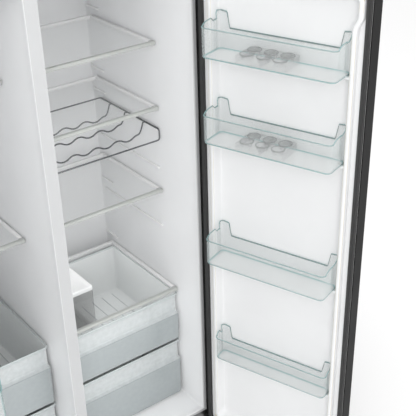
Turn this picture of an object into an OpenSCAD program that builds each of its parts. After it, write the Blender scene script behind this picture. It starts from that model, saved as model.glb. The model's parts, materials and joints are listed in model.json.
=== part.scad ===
// Side by side refrigerator: freezer on the left, fridge on the right, doors standing open.
// Lengths are in millimetres. Modules draw in the cabinet's own frame: x = 0 is its middle,
// y = 0 its front face with +y to the back, z = 0 the floor. The last shift puts the origin
// under the middle of the whole part.

/* [Cabinet] */
// Width over the side panels
cab_w = 910; // [840:1:1090]
// Height of the casing above the floor
cab_h = 1745; // [1680:1:2100]
// Depth from front face to back panel
cab_d = 630; // [600:1:760]
// Thickness of each side wall
side_wall = 43; // [36:1:52]
// Thickness of the roof
roof_wall = 50; // [42:1:60]
// Thickness of the back wall
back_wall = 50; // [42:1:60]
// Width of the wall between the compartments
mullion_w = 40; // [36:1:50]
// Clear width of the freezer
freezer_w = 324; // [270:1:390]
// Height of the compartment floors
floor_z = 122; // [110:1:146]
// Depth of the floor in front of the step over the compressor
step_y = 420; // [400:1:440]
// Height of that step
step_z = 330; // [310:1:345]

/* [Doors] */
// Opening angle of both doors as they stand
door_angle = 109; // [95:1:115]
// Thickness of a door
door_t = 66; // [55:1:79]
// Gap between a closed door and the cabinet
door_gap = 10; // [10:0.5:12]
// Radius of the long front edges
edge_r = 20; // [10:1:24]
// Height of the inner rim above the door's back face
rim_h = 17; // [14:1:20]
// Depth of the pocket behind the rim
pocket_d = 16; // [12:1:19]

/* [Shelves] */
// Height of the top shelf's upper face
shelf1_z = 1432; // [1400:1:1440]
// Height of the middle shelf's upper face
shelf2_z = 1224; // [1215:1:1240]
// Height of the wine rack's rails
rack_z = 1148; // [1130:1:1155]
// Height of the lower shelf's upper face
shelf3_z = 937; // [860:1:960]
// Height of the drawer cover's upper face
cover_z = 580; // [560:1:600]
// Front edge of the shelves
shelf_y = 180; // [160:1:200]
// Diameter of the rack wire
wire_d = 5; // [4:0.1:6]
// Distance between the bottles in the rack
cradle_pitch = 78; // [70:1:94]
// Thickness of the glass
glass_t = 4; // [3.2:0.1:5]

/* [Bins] */
// Height of a door bin
bin_h = 86; // [72:1:100]
// Depth of the deep bins in front of the door's back face
bin_reach = 82; // [68:1:90]
// Depth of the shallow bin in front of the door's back face
low_reach = 39; // [33:1:47]
// Wall thickness of bins and drawers
wall = 2.5; // [2:0.1:3]

/* [Hidden] */
$fn = 48;
e = 0.5;               // overrun of cuts past a face
sheet = 1;             // steel sheet
skin_t = 1.5;          // plastic liner sheet
clear = 0.3;           // gap between pieces that move past each other
fit = 0.05;            // radial running fit of pins
half = cab_w / 2;
base_z = 40;
back_y = cab_d - back_wall;
ceil_z = cab_h - roof_wall;
machine_y = step_y + 45;
machine_z = step_z - 42;
fz_x0 = -half + side_wall;
fz_x1 = fz_x0 + freezer_w;
fr_x0 = fz_x1 + mullion_w;
fr_x1 = half - side_wall;
lip = 15;              // liner flange on the front face
lip_m = 5;             // the same flange on the mullion

// doors: built as if closed, hinge side at s = 0, back face at d = 0
door_z0 = 88;
door_z1 = cab_h - 18;
side_gap = 0.5;
mid_x = (fz_x1 + fr_x0) / 2;
door_slit = 3.5;       // half the gap between the closed doors
fr_door_w = half - side_gap - mid_x - door_slit;
fz_door_w = half - side_gap + mid_x - door_slit;
pin_s = 16.5;          // hinge axis from the door's side
pin_d = 23;            // hinge axis in front of the door's back face
pin_r = 5;
pin_x = half - side_gap - pin_s;
pin_y = -door_gap - pin_d;
rim_s = side_wall + 1.5;   // rim from the hinge side, just inside the closed compartment
rim_f = max(34, mullion_w / 2 + 13);   // rim from the free side
rim_w = 14;
rim_slope = 5;         // how far the rim's inner wall leans in
rim_z0 = floor_z + 6;
rim_z1 = ceil_z - 11;
step_s = 14;           // near its top the rim stands this much further out on the free side
rise_z = door_z1 - 120;
seal_w = 14;
seal_s = 12;           // gasket from the hinge side
seal_f = 3;            // gasket from the free side

// cabinet fittings
rib_w = 7;
rib_h = 8;
stub_up = 29;          // anti-tip stub above a shelf
runner_w = 14;         // ledges under the drawers
frame_h = 12;
rim_frame = 12;        // width of a shelf's plastic edge
glass_seat = 5;        // how far the glass goes under that edge
shelf_gap = 3;
shelf_x0 = fr_x0 + shelf_gap;
shelf_x1 = fr_x1 - shelf_gap;
shelf_y1 = back_y - 34;
spare1_z = 1012;       // unused rails between the shelves
spare2_z = 797;
roller_x = half - 70;
roller_y = cab_d - 40;
roller_r = 18;
roller_w = 22;
axle_r = 4;
foot_x = half - 75;
foot_y = 60;
screw_r = 5;
comp_x = 250;
comp_y = (machine_y + cab_d) / 2;
inlet_x = -half + 180;
inlet_z = 103;
cool_z0 = 640;
cool_z1 = ceil_z - 90;
cool_y = back_y - 58;
fan_z = cool_z1 - 100;
fan_shaft_r = 3;
fz_mid = (fz_x0 + fz_x1) / 2;
slot_pitch = 28;

// rack: 5 cradles between two side rails
rack_x0 = fr_x0 + 5;
rack_x1 = fr_x1 - 5;
rack_y0 = shelf_y + 2;
rack_y1 = back_y - 50;
rack_drop = 36;        // front bar below the rails
crest_drop = 37;       // crests of the waved wires below the rails
rack_turn = 9;         // level ends of the waved wires, which pass over the liner's rails
cradle_a = 34.2;       // half the angle of each arc
cradle_r = cradle_pitch / 4 / sin(cradle_a);
cradles = floor((rack_x1 - rack_x0 - 40) / cradle_pitch);

// drawers
cover_y = 122;
cover_y1 = back_y - 44;
dr_gap = rib_w + 3;
dr_lip = 2.5;
dr_x0 = fr_x0 + dr_gap;
dr_x1 = fr_x1 - dr_gap;
dr_top = cover_z - frame_h - 3;
up_z0 = cover_z - 222;
low_z0 = floor_z + 12;
low_top = up_z0 - 12;
crisper_z0 = cover_z - 202;
crisper_top = crisper_z0 - 12;
ledge_down = 100;      // foot of a drawer's pull ledge below its top
box_x0 = dr_x0 + wall + 3;
box_w = 240;
box_y0 = 352;
box_y1 = back_y - 68;
box_z0 = crisper_z0 + wall + clear;
box_z1 = cover_z - 26;
lid_h = 8;

// handles and door bins
grip_s = 46;
grip_w = 34;
grip_d = 24;
grip_z0 = 860;
grip_z1 = 1240;
bin_s0 = rim_s + rim_w + 6;
wing_w = 27;
wing_up = 28;
back_low = 22;         // back wall of a bin below its front edge
lug_w = 15;
bin1_z = shelf1_z + 123;
bin2_z = shelf2_z + 80;
bin3_z = shelf3_z - 37;
bin4_z = cover_z - 76;
egg_pitch = 50;
egg_cols = 3;

// place of the whole part: the open doors' tips set its width and its front
tip_x = function (w) pin_x + cos(door_angle) * (edge_r - w + pin_s)
    + sin(door_angle) * (door_t - edge_r - pin_d) + edge_r;
tip_y = pin_y + sin(door_angle) * (pin_s - fr_door_w) + cos(door_angle) * pin_d;
mid_shift_x = (tip_x(fr_door_w) - tip_x(fz_door_w)) / 2;
mid_shift_y = (tip_y + cab_d) / 2;

module placed() { translate([-mid_shift_x, -mid_shift_y, 0]) children(); }
module box(lo, hi) { translate(lo) cube(hi - lo); }
module upright(x, y, z, r, h) { translate([x, y, z]) cylinder(r = r, h = h); }
module along_y(x, y, z, r, h) { translate([x, y, z]) rotate([-90, 0, 0]) cylinder(r = r, h = h); }
module along_x(x, y, z, r, h) { translate([x, y, z]) rotate([0, 90, 0]) cylinder(r = r, h = h); }
module both_sides() { children(); mirror([1, 0, 0]) children(); }
// a side profile in (y, z) drawn out between two x values
module side_profile(x0, x1) {
    translate([x0, 0, 0]) rotate([90, 0, 90]) linear_extrude(x1 - x0) children();
}
module round_rect(x0, y0, x1, y1, r) {
    translate([x0 + r, y0]) square([x1 - x0 - 2 * r, y1 - y0]);
    translate([x0, y0 + r]) square([x1 - x0, y1 - y0 - 2 * r]);
    for (x = [x0 + r, x1 - r], y = [y0 + r, y1 - r]) translate([x, y]) circle(r = r);
}
module round_box(lo, hi, r) {
    translate([0, 0, lo[2]]) linear_extrude(hi[2] - lo[2]) round_rect(lo[0], lo[1], hi[0], hi[1], r);
}

// ---- cabinet ----
module cavity(g, front) {
    polygon([[front, floor_z - g], [step_y + g, floor_z - g], [step_y + g, step_z - g],
        [back_y + g, step_z - g], [back_y + g, ceil_z + g], [front, ceil_z + g]]);
}
module foam_outline() {
    polygon([[skin_t, base_z + sheet], [machine_y, base_z + sheet], [machine_y, machine_z],
        [cab_d - sheet, machine_z], [cab_d - sheet, cab_h - sheet], [skin_t, cab_h - sheet]]);
}
module hinge_bolt_holes(r) {
    for (y = [14, 46]) upright(pin_x - 4, y, cab_h - 16, r, 24);
    for (x = [pin_x - 14, pin_x + 4]) along_y(x, -8, 62, r, 22);
}
module outer_casing() placed() color("#3a3c3e") difference() {
    box([-half, 0, base_z], [half, cab_d, cab_h]);
    box([-half + sheet, sheet, base_z - e], [half - sheet, cab_d + e, cab_h - sheet]);
    box([-half + side_wall - lip, -e, base_z - e], [half - side_wall + lip, cab_d, ceil_z + lip]);
    both_sides() hinge_bolt_holes(3.1);
}
module rear_panel() placed() color("#8e9194") box([-half + sheet, cab_d - sheet, machine_z],
    [half - sheet, cab_d, cab_h - sheet]);
module base_plate() placed() color("#a9acae") {
    difference() {
        union() {
            box([-half + sheet, skin_t, base_z], [half - sheet, cab_d - sheet, base_z + sheet]);
            box([fz_x0 - lip, 0, base_z], [fr_x1 + lip, skin_t, floor_z - lip]);
            box([-half + sheet, machine_y, base_z], [half - sheet, machine_y + sheet, machine_z]);
            box([-half + sheet, machine_y, machine_z - sheet], [half - sheet, cab_d - sheet, machine_z]);
            both_sides() for (x = [roller_x - 16, roller_x + 13])
                box([x, roller_y - 12, roller_r - 10], [x + 3, roller_y + 12, base_z + sheet]);
            both_sides() along_x(roller_x - 16, roller_y, roller_r, axle_r, 32);
            both_sides() upright(foot_x, foot_y, base_z + sheet, 10, 10);
        }
        both_sides() upright(foot_x, foot_y, base_z - e, screw_r + fit, 20);
        both_sides() hinge_bolt_holes(3.1);
    }
}
module foam_side() difference() {
    side_profile(fr_x1 + skin_t, half - sheet) foam_outline();
    hinge_bolt_holes(3.2);
}
module insulation_left() placed() color("#e8d9a0") mirror([1, 0, 0]) foam_side();
module insulation_right() placed() color("#e8d9a0") foam_side();
module insulation_mullion() placed() color("#e8d9a0")
    side_profile(fz_x1 + skin_t, fr_x0 - skin_t) cavity(skin_t, skin_t);
module insulation_shell() placed() color("#e8d9a0") difference() {
    side_profile(fz_x0 - skin_t, fr_x1 + skin_t) difference() {
        foam_outline();
        cavity(skin_t, -e);
    }
    both_sides() upright(foot_x, foot_y, base_z - e, 11, 26);
}
module rib(x, dir, y0, y1, z) {
    x0 = dir > 0 ? x - e : x - rib_w;
    box([x0, y0, z - rib_h], [x0 + rib_w + e, y1, z]);
}
// the moulded rails that shelves, rack and drawers run on, and the stubs that stop them tipping
module ribs(x0, x1, y1, runs, stubs) {
    for (z = runs) {
        rib(x0, 1, shelf_y + 14, y1 - 16, z);
        rib(x1, -1, shelf_y + 14, y1 - 16, z);
    }
    for (z = stubs) {
        rib(x0, 1, y1 - 74, y1, z);
        rib(x1, -1, y1 - 74, y1, z);
    }
}
module runners(x0, x1, up) {
    for (x = [x0, x1 - runner_w], z = [up, low_z0])
        box([x, cover_y + 20, z - 9 - clear], [x + runner_w, step_y - 12, z - clear]);
}
module liner(x0, x1, lip0, lip1) {
    difference() {
        union() {
            side_profile(x0 - skin_t, x1 + skin_t) cavity(skin_t, 0);
            box([x0 - lip0, 0, floor_z - lip], [x1 + lip1, skin_t, ceil_z + lip]);
        }
        side_profile(x0, x1) cavity(0, -e);
    }
}
module fridge_liner() placed() color("#eef0f2") {
    shelf_rails = [for (z = [shelf1_z, shelf2_z, shelf3_z]) z - frame_h - clear];
    spare_rails = [rack_z - wire_d / 2 - clear, spare1_z, spare2_z];
    shelf_stubs = [for (z = [shelf1_z, shelf2_z, cover_z]) z + stub_up];
    liner(fr_x0, fr_x1, lip_m, lip);
    ribs(fr_x0, fr_x1, back_y - 8, concat(shelf_rails, spare_rails),
        concat(shelf_stubs, [rack_z + 27, spare2_z + 38]));
    for (x = [fr_x0, fr_x1 - rib_w])
        box([x, cover_y + 14, cover_z - 2 * frame_h], [x + rib_w, cover_y1, cover_z - frame_h - clear]);
    runners(fr_x0, fr_x1, crisper_z0);
}
module freezer_liner() placed() color("#eef0f2") {
    liner(fz_x0, fz_x1, lip, lip_m);
    ribs(fz_x0, fz_x1, cool_y - 4, [for (z = [shelf1_z, shelf3_z]) z - frame_h - clear],
        [for (z = [shelf1_z, shelf3_z]) z + stub_up]);
    runners(fz_x0, fz_x1, up_z0);
}
module mullion_cover() placed() color("#d5d8db")
    box([fz_x1 + lip_m, 0, floor_z - lip], [fr_x0 - lip_m, skin_t, ceil_z + lip]);
module kick_grille() placed() color("#2c2e30") difference() {
    union() {
        box([-half + 62, -20, 14], [half - 62, -17, 82]);
        box([-half + 62, -20, 79], [half - 62, 0, 82]);
        both_sides() box([half - 65, -20, 14], [half - 62, 0, 82]);
    }
    slots = floor((half - 80) / slot_pitch);
    for (i = [-slots : slots], z = [30, 50])
        box([i * slot_pitch - 9, -21, z], [i * slot_pitch + 9, -16, z + 8]);
}
module foot() {
    upright(foot_x, foot_y, 0, 22, 8);
    upright(foot_x, foot_y, 8, 14, 6);
    upright(foot_x, foot_y, 14, screw_r, 46);
}
module levelling_foot_left() placed() color("#202224") mirror([1, 0, 0]) foot();
module levelling_foot_right() placed() color("#202224") foot();
module rear_rollers() placed() color("#202224") both_sides() difference() {
    union() {
        along_x(roller_x - roller_w / 2, roller_y, roller_r, roller_r, roller_w);
        along_x(roller_x - 12.6, roller_y, roller_r, 2 * axle_r, 25.2);
    }
    along_x(roller_x - 14, roller_y, roller_r, axle_r + fit, 28);
}
module upper_hinge() difference() {
    union() {
        round_box([pin_x - 26, pin_y - 12, cab_h], [pin_x + 14, 62, cab_h + 4], 6);
        upright(pin_x, pin_y, door_z1 - 15, pin_r, cab_h - door_z1 + 17);
    }
    hinge_bolt_holes(3.1);
}
module lower_hinge() difference() {
    union() {
        box([pin_x - 24, pin_y - 12, door_z0 - 8], [pin_x + 14, 0, door_z0 - 4]);
        box([pin_x - 24, -4, base_z + 4], [pin_x + 14, 0, door_z0 - 4]);
        upright(pin_x, pin_y, door_z0 - 6, 9, 5.6);
        upright(pin_x, pin_y, door_z0 - 6, pin_r, 21);
    }
    hinge_bolt_holes(3.1);
}
module upper_hinge_left() placed() color("#9a9da0") mirror([1, 0, 0]) upper_hinge();
module upper_hinge_right() placed() color("#9a9da0") upper_hinge();
module lower_hinge_left() placed() color("#9a9da0") mirror([1, 0, 0]) lower_hinge();
module lower_hinge_right() placed() color("#9a9da0") lower_hinge();
module hinge_covers() placed() color("#26282a") both_sides() difference() {
    round_box([pin_x - 36, pin_y - 14, cab_h], [half, 84, cab_h + 25], 8);
    round_box([pin_x - 33.5, pin_y - 12.5, cab_h - e], [half - 2, 81.5, cab_h + 22.5], 6);
}
module hinge_screws() placed() color("#b8bbbe") both_sides() {
    for (y = [14, 46]) {
        upright(pin_x - 4, y, cab_h + 4, 6, 3.5);
        upright(pin_x - 4, y, cab_h - 14, 3, 18.5);
    }
    for (x = [pin_x - 14, pin_x + 4]) {
        along_y(x, -7.5, 62, 6, 3.5);
        along_y(x, -4.5, 62, 3, 17);
    }
}

// ---- machine compartment and cooling ----
module compressor() placed() color("#1c1d1f") {
    foot_z = base_z + sheet;
    translate([comp_x, comp_y, foot_z + 12]) rotate_extrude() {
        translate([0, 26]) square([66, 92]);
        intersection() {
            translate([0, 118]) square([66, 60]);
            translate([20, 118]) circle(r = 46);
        }
        translate([0, 118]) square([20, 46]);
        translate([0, 3]) square([44, 24]);
    }
    box([comp_x - 95, comp_y - 55, foot_z + 12], [comp_x + 95, comp_y + 55, foot_z + 15]);
    for (x = [-80, 80], y = [-42, 42]) upright(comp_x + x, comp_y + y, foot_z, 11, 12);
    along_x(comp_x - 120, comp_y + 20, foot_z + 90, 4, 60);
    box([comp_x + 62, comp_y - 26, foot_z + 55], [comp_x + 92, comp_y + 26, foot_z + 105]);
}
module drain_pan() placed() color("#3a3c3e") difference() {
    round_box([-120, machine_y + 16, base_z + sheet], [100, cab_d - 16, base_z + 45], 10);
    round_box([-117.5, machine_y + 18.5, base_z + 4], [97.5, cab_d - 18.5, base_z + 46], 8);
}
module machine_cover() placed() color("#6d7073") difference() {
    box([-half + sheet, cab_d - sheet, base_z + sheet + clear], [half - sheet, cab_d, machine_z - clear]);
    for (i = [-9 : 14], z = [90, 130, 170, 210]) if (i > -7 || z > 150)
        box([i * slot_pitch - 9, cab_d - 2, z], [i * slot_pitch + 9, cab_d + e, z + 8]);
    box([inlet_x - 26, cab_d - 2, inlet_z - 15], [inlet_x + 26, cab_d + e, inlet_z + 15]);
}
module power_inlet() placed() color("#17181a") difference() {
    union() {
        box([inlet_x - 25.8, cab_d - 24, inlet_z - 14.8], [inlet_x + 25.8, cab_d - 0.4, inlet_z + 14.8]);
        box([inlet_x - 30, cab_d - 5, inlet_z - 18], [inlet_x + 30, cab_d - sheet - 0.2, inlet_z + 18]);
    }
    difference() {
        box([inlet_x - 13, cab_d - 18, inlet_z - 9], [inlet_x + 13, cab_d + 2, inlet_z + 9]);
        for (x = [-7, 0, 7])
            box([inlet_x + x - 1, cab_d - 19, inlet_z - 3], [inlet_x + x + 1, cab_d - 4, inlet_z + 3]);
    }
}
module evaporator_cover() placed() color("#e4e7ea") {
    difference() {
        box([fz_x0 + 1, cool_y, cool_z0], [fz_x1 - 1, cool_y + 3, cool_z1]);
        for (i = [-3 : 3], z = [fan_z + 60, cool_z0 + 40])
            box([fz_mid + i * 30 - 10, cool_y - 1, z], [fz_mid + i * 30 + 10, cool_y + 4, z + 8]);
        along_y(fz_mid, cool_y - 1, fan_z, 44, 5);
    }
    for (z = [cool_z0, cool_z1 - 3]) box([fz_x0 + 1, cool_y, z], [fz_x1 - 1, back_y - 0.2, z + 3]);
    along_y(fz_mid, cool_y + 36, fan_z, 16, 21.8);
    along_y(fz_mid, cool_y + 12, fan_z, fan_shaft_r, 26);
}
module evaporator_fan() placed() color("#c9ccd0")
    translate([fz_mid, cool_y + 14, fan_z]) rotate([-90, 0, 0]) difference() {
        union() {
            cylinder(r = 15, h = 20);
            for (a = [0 : 72 : 288])
                rotate([0, 0, a]) translate([10, -1.2, 3]) rotate([32, 0, 0]) cube([38, 2.4, 18]);
        }
        translate([0, 0, -4]) cylinder(r = fan_shaft_r + fit, h = 30);
    }
// fins on a tube that runs to and fro behind the cover
module evaporator_coil() placed() color("#c7ccd1") {
    tube_y = (cool_y + back_y) / 2;
    tube_x = 138;
    pitch = 40;
    rows = 6;
    z0 = cool_z0 + 100;
    for (i = [-12 : 12])
        box([fz_mid + i * 11 - 0.5, cool_y + 8, z0 - 20], [fz_mid + i * 11 + 0.5, back_y - 3, z0 + 230]);
    for (i = [0 : rows - 1]) along_x(fz_mid - tube_x, tube_y, z0 + i * pitch, 4, 2 * tube_x);
    for (i = [0 : rows - 2])
        upright(fz_mid + (i % 2 == 0 ? tube_x : -tube_x), tube_y, z0 + i * pitch - 5, 5, pitch + 10);
}
module lamp_lens() placed() color("#fdfdf6")
    round_box([(fr_x0 + fr_x1) / 2 - 70, 150, ceil_z - 9], [(fr_x0 + fr_x1) / 2 + 70, 186, ceil_z], 8);

// ---- shelves ----
module inset_box(x0, x1, y0, y1, inset, z0, z1) {
    box([x0 + inset, y0 + inset, z0], [x1 - inset, y1 - inset, z1]);
}
module frame_plate(x0, x1, y0, y1, z) difference() {
    round_box([x0, y0, z - frame_h], [x1, y1, z], 4);
    inset_box(x0, x1, y0, y1, rim_frame, z - frame_h - e, z + e);
    inset_box(x0, x1, y0, y1, rim_frame - glass_seat, z - glass_t - 2, z - 2);
}
module glass_plate(x0, x1, y0, y1, z)
    inset_box(x0, x1, y0, y1, rim_frame - glass_seat + 0.2, z - glass_t - 2 + fit, z - 2 - fit);
module shelf_frame(z) placed() color("#c3cac7") frame_plate(shelf_x0, shelf_x1, shelf_y, shelf_y1, z);
module shelf_glass(z) placed() color("#d5e4e0", 0.5) glass_plate(shelf_x0, shelf_x1, shelf_y, shelf_y1, z);
module shelf_frame_top() shelf_frame(shelf1_z);
module shelf_glass_top() shelf_glass(shelf1_z);
module shelf_frame_middle() shelf_frame(shelf2_z);
module shelf_glass_middle() shelf_glass(shelf2_z);
module shelf_frame_lower() shelf_frame(shelf3_z);
module shelf_glass_lower() shelf_glass(shelf3_z);
module drawer_cover_frame() placed() color("#e3e6e8")
    frame_plate(shelf_x0, shelf_x1, cover_y, cover_y1, cover_z);
module drawer_cover_glass() placed() color("#d5e4e0", 0.5)
    glass_plate(shelf_x0, shelf_x1, cover_y, cover_y1, cover_z);
module freezer_shelf(z) placed() color("#d5e4e0", 0.6) {
    round_box([fz_x0 + shelf_gap, shelf_y, z - frame_h], [fz_x1 - shelf_gap, cool_y - 20, z], 4);
}
module freezer_shelf_upper() freezer_shelf(shelf1_z);
module freezer_shelf_lower() freezer_shelf(shelf3_z);

// The rack: side rails, a bar at the back, legs down to a lower bar in front, three waved wires.
// A wave is equal arcs, hollow and hump in turn, and its ends rise to the side rails.
arc_step = cradle_a / 3;
wave_x0 = (rack_x0 + rack_x1 - cradles * cradle_pitch) / 2;
hollow = function (i, a) [wave_x0 + (i + 0.5) * cradle_pitch + cradle_r * sin(a),
    rack_z - crest_drop + 2 * cradle_r * cos(cradle_a) - cradle_r - cradle_r * cos(a)];
hump = function (i, a) [wave_x0 + i * cradle_pitch + cradle_r * sin(a),
    rack_z - crest_drop - cradle_r + cradle_r * cos(a)];
wave_line = [[rack_x0, rack_z], [rack_x0 + rack_turn, rack_z],
    for (a = [0 : arc_step : cradle_a - arc_step / 2]) hump(0, a),
    for (i = [0 : cradles - 1]) each [
        for (a = [-cradle_a : arc_step : cradle_a - arc_step / 2]) hollow(i, a),
        if (i < cradles - 1) for (a = [-cradle_a : arc_step : cradle_a - arc_step / 2]) hump(i + 1, a)],
    for (a = [-cradle_a : arc_step : 0.1]) hump(cradles, a),
    [rack_x1 - rack_turn, rack_z], [rack_x1, rack_z]];
// a wire of eight sides along a line in the upright plane at y
module bent_wire(line, y) {
    n = len(line);
    sides = 8;
    along = [for (i = [0 : n - 1]) let (v = line[min(i + 1, n - 1)] - line[max(i - 1, 0)]) v / norm(v)];
    rings = [for (i = [0 : n - 1], k = [0 : sides - 1]) let (a = k * 360 / sides, r = wire_d / 2)
        [line[i][0] - along[i][1] * r * cos(a), y + r * sin(a), line[i][1] + along[i][0] * r * cos(a)]];
    sleeve = [for (i = [0 : n - 2], k = [0 : sides - 1]) let (a = i * sides, m = (k + 1) % sides)
        [a + k, a + m, a + sides + m, a + sides + k]];
    polyhedron(rings, concat(sleeve, [[for (k = [sides - 1 : -1 : 0]) k]],
        [[for (k = [0 : sides - 1]) (n - 1) * sides + k]]));
}
module wire_x(x0, x1, y, z) along_x(x0, y, z, wire_d / 2, x1 - x0, $fn = 8);
module wire_y(x, y0, y1, z) along_y(x, y0, z, wire_d / 2, y1 - y0, $fn = 8);
module wine_rack() placed() color("#8f9499") {
    for (x = [rack_x0, rack_x1]) {
        wire_y(x, rack_y0 - wire_d / 2, rack_y1 + wire_d / 2, rack_z);
        upright(x, rack_y0, rack_z - rack_drop - wire_d / 2, wire_d / 2, rack_drop + wire_d / 2, $fn = 8);
    }
    wire_x(rack_x0, rack_x1, rack_y1, rack_z);
    wire_x(rack_x0, rack_x1, rack_y0, rack_z - rack_drop);
    for (y = [78, 183, 277]) bent_wire(wave_line, rack_y0 + y);
}

// ---- drawers ----
// a tray with a lip round its top, open above
module tray(x0, x1, y0, y1, z0, z1, t, lip_out) {
    difference() {
        union() {
            round_box([x0, y0, z0], [x1, y1, z1], 10);
            round_box([x0 - lip_out, y0 - lip_out, z1 - 5], [x1 + lip_out, y1, z1], 10);
        }
        round_box([x0 + t, y0 + t + 1, z0 + t], [x1 - t, y1 - t, z1 + e], 8);
    }
}
module drawer(x0, x1, y1, z0, z1) {
    face_y = cover_y - 6;
    tray(x0, x1, face_y, y1, z0, z1, wall, dr_lip);
    box([x0, face_y - 8, z1 - ledge_down], [x1, face_y + 0.1, z1 - ledge_down + 20]);
    box([x0, face_y - 8, z1 - ledge_down], [x1, face_y - 5, z1 - ledge_down + 32]);
}
module crisper_drawer_upper() placed() color("#b4bec0", 0.8)
    drawer(dr_x0, dr_x1, back_y - 60, crisper_z0, dr_top);
module crisper_drawer_lower() placed() color("#b4bec0", 0.8)
    drawer(dr_x0, dr_x1, step_y - 14, low_z0, crisper_top);
module freezer_drawer_upper() placed() color("#b4bec0", 0.8)
    drawer(fz_x0 + dr_gap, fz_x1 - dr_gap, cool_y - 12, up_z0, cover_z);
module freezer_drawer_lower() placed() color("#b4bec0", 0.8)
    drawer(fz_x0 + dr_gap, fz_x1 - dr_gap, step_y - 14, low_z0, low_top);
module snack_box() placed() color("#f2f4f5") {
    difference() {
        round_box([box_x0, box_y0, box_z0], [box_x0 + box_w, box_y1, box_z1 - lid_h], 9);
        round_box([box_x0 + 2, box_y0 + 2, box_z0 + 2],
            [box_x0 + box_w - 2, box_y1 - 2, box_z1 - lid_h + 2], 7);
    }
    round_box([box_x0, box_y0 - 2, box_z1 - lid_h], [box_x0 + box_w, box_y1, box_z1], 9);
}

// ---- doors ----
// Children are drawn in the closed door's own frame: s from the hinge side, d towards the cabinet.
module right_door() placed() translate([pin_x, pin_y, 0]) rotate([0, 0, door_angle])
    translate([pin_s, pin_d, 0]) mirror([1, 0, 0]) children();
module left_door() placed() mirror([1, 0, 0]) translate([pin_x, pin_y, 0]) rotate([0, 0, door_angle])
    translate([pin_s, pin_d, 0]) mirror([1, 0, 0]) children();
module slab(w, inset, top_d) {
    r = edge_r - inset;
    translate([edge_r, -door_t + inset]) square([w - 2 * edge_r, door_t - inset + top_d]);
    translate([inset, -door_t + edge_r]) square([w - 2 * inset, door_t - edge_r + top_d]);
    for (s = [edge_r, w - edge_r]) translate([s, -door_t + edge_r]) circle(r = r);
}
module grip(w, g) box([w - grip_s - grip_w - g, -door_t - e, grip_z0 - g],
    [w - grip_s + g, -door_t + grip_d + g, grip_z1 + g]);
module bush_holes(r) for (z = [door_z0 - e, door_z1 - 16]) upright(pin_s, -pin_d, z, r, 16 + e);
module door_skin(w) difference() {
    translate([0, 0, door_z0]) linear_extrude(door_z1 - door_z0) slab(w, 0, 0);
    difference() {
        union() {
            translate([0, 0, door_z0 + sheet]) linear_extrude(door_z1 - door_z0 - 2 * sheet)
                slab(w, sheet, -sheet);
            box([10, -4, door_z0 + 8], [w - 2.5, e, door_z1 - 12]);
        }
        grip(w, sheet);
        upright(pin_s, -pin_d, door_z0, 11, 18);
        upright(pin_s, -pin_d, door_z1 - 18, 11, 18);
    }
    grip(w, 0);
    bush_holes(pin_r + fit);
}
// from z0 to z1, what lies inside a rim whose free side is at s1
module rim_inside(s1, inset, top_d, floor_d, z0) translate([0, 0, z0])
    linear_extrude(rim_z1 - rim_w + inset - z0) polygon([
        [rim_s + rim_w - inset, top_d + e], [rim_s + rim_w + rim_slope - inset, floor_d - e],
        [s1 - rim_w - rim_slope + inset, floor_d - e], [s1 - rim_w + inset, top_d + e]]);
// a block with the rim's outline: its upper part reaches further out
module rim_block(w, g, d0, d1) {
    box([rim_s + g, d0, rim_z0 + g], [w - rim_f - g, d1, rim_z1 - g]);
    box([rim_s + g, d0, rise_z - rim_w / 2 + g], [w - rim_f + step_s - g, d1, rim_z1 - g]);
}
module rim_solid(w, inset, top_d, floor_d) difference() {
    rim_block(w, inset, floor_d, top_d);
    rim_inside(w - rim_f, inset, top_d, floor_d, rim_z0 + rim_w - inset);
    rim_inside(w - rim_f + step_s, inset, top_d, floor_d, rise_z + rim_w / 2 - inset);
}
// ledges low on both side walls, which carry the bins
module lug(heights) for (z = heights) translate([0, 0, z - bin_h - 10]) linear_extrude(10 - clear)
    polygon([[rim_s + rim_w + rim_slope - 0.7, -pocket_d - 0.1], [rim_s + rim_w + 0.3, rim_h - 5],
        [rim_s + rim_w + lug_w, rim_h - 5], [rim_s + rim_w + lug_w, -pocket_d - 0.1]]);
module lugs(w, heights) {
    lug(heights);
    translate([w + rim_s - rim_f, 0, 0]) mirror([1, 0, 0]) lug(heights);
}
module door_liner(w, bins) {
    lugs(w, bins);
    difference() {
        box([10.2, -skin_t, door_z0 + 8.2], [w - 2.7, 0, door_z1 - 12.2]);
        rim_block(w, 1, -5, 5);
    }
    difference() {
        rim_solid(w, 0, rim_h, -pocket_d);
        rim_solid(w, skin_t, rim_h - skin_t, -pocket_d - 1);
    }
    pocket_floor(w, 0, -pocket_d);
}
module pocket_floor(w, g, top_d) {
    z1 = rim_z1 - rim_w + skin_t;
    s1 = w - rim_f - rim_w + g;
    box([rim_s + rim_w - g, -pocket_d - skin_t, rim_z0 + rim_w - skin_t], [s1, top_d, z1]);
    box([rim_s + rim_w - g, -pocket_d - skin_t, rise_z + rim_w / 2 - skin_t], [s1 + step_s, top_d, z1]);
}
module door_foam(w) difference() {
    union() {
        translate([0, 0, door_z0 + sheet]) linear_extrude(door_z1 - door_z0 - 2 * sheet) slab(w, sheet, -4);
        rim_solid(w, skin_t, rim_h - skin_t, -pocket_d - 1);
    }
    pocket_floor(w, skin_t, 0);
    difference() {
        rim_block(w, 0, -pocket_d - 1, -3.9);
        rim_solid(w, skin_t, rim_h, -pocket_d - 2);
    }
    box([w - rim_f - rim_w - rim_slope, -pocket_d - 1, rise_z - 30], [w - seal_f - seal_w, rim_h, rise_z + 30]);
    grip(w, sheet);
    upright(pin_s, -pin_d, door_z0, 11, 18);
    upright(pin_s, -pin_d, door_z1 - 18, 11, 18);
}
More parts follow.
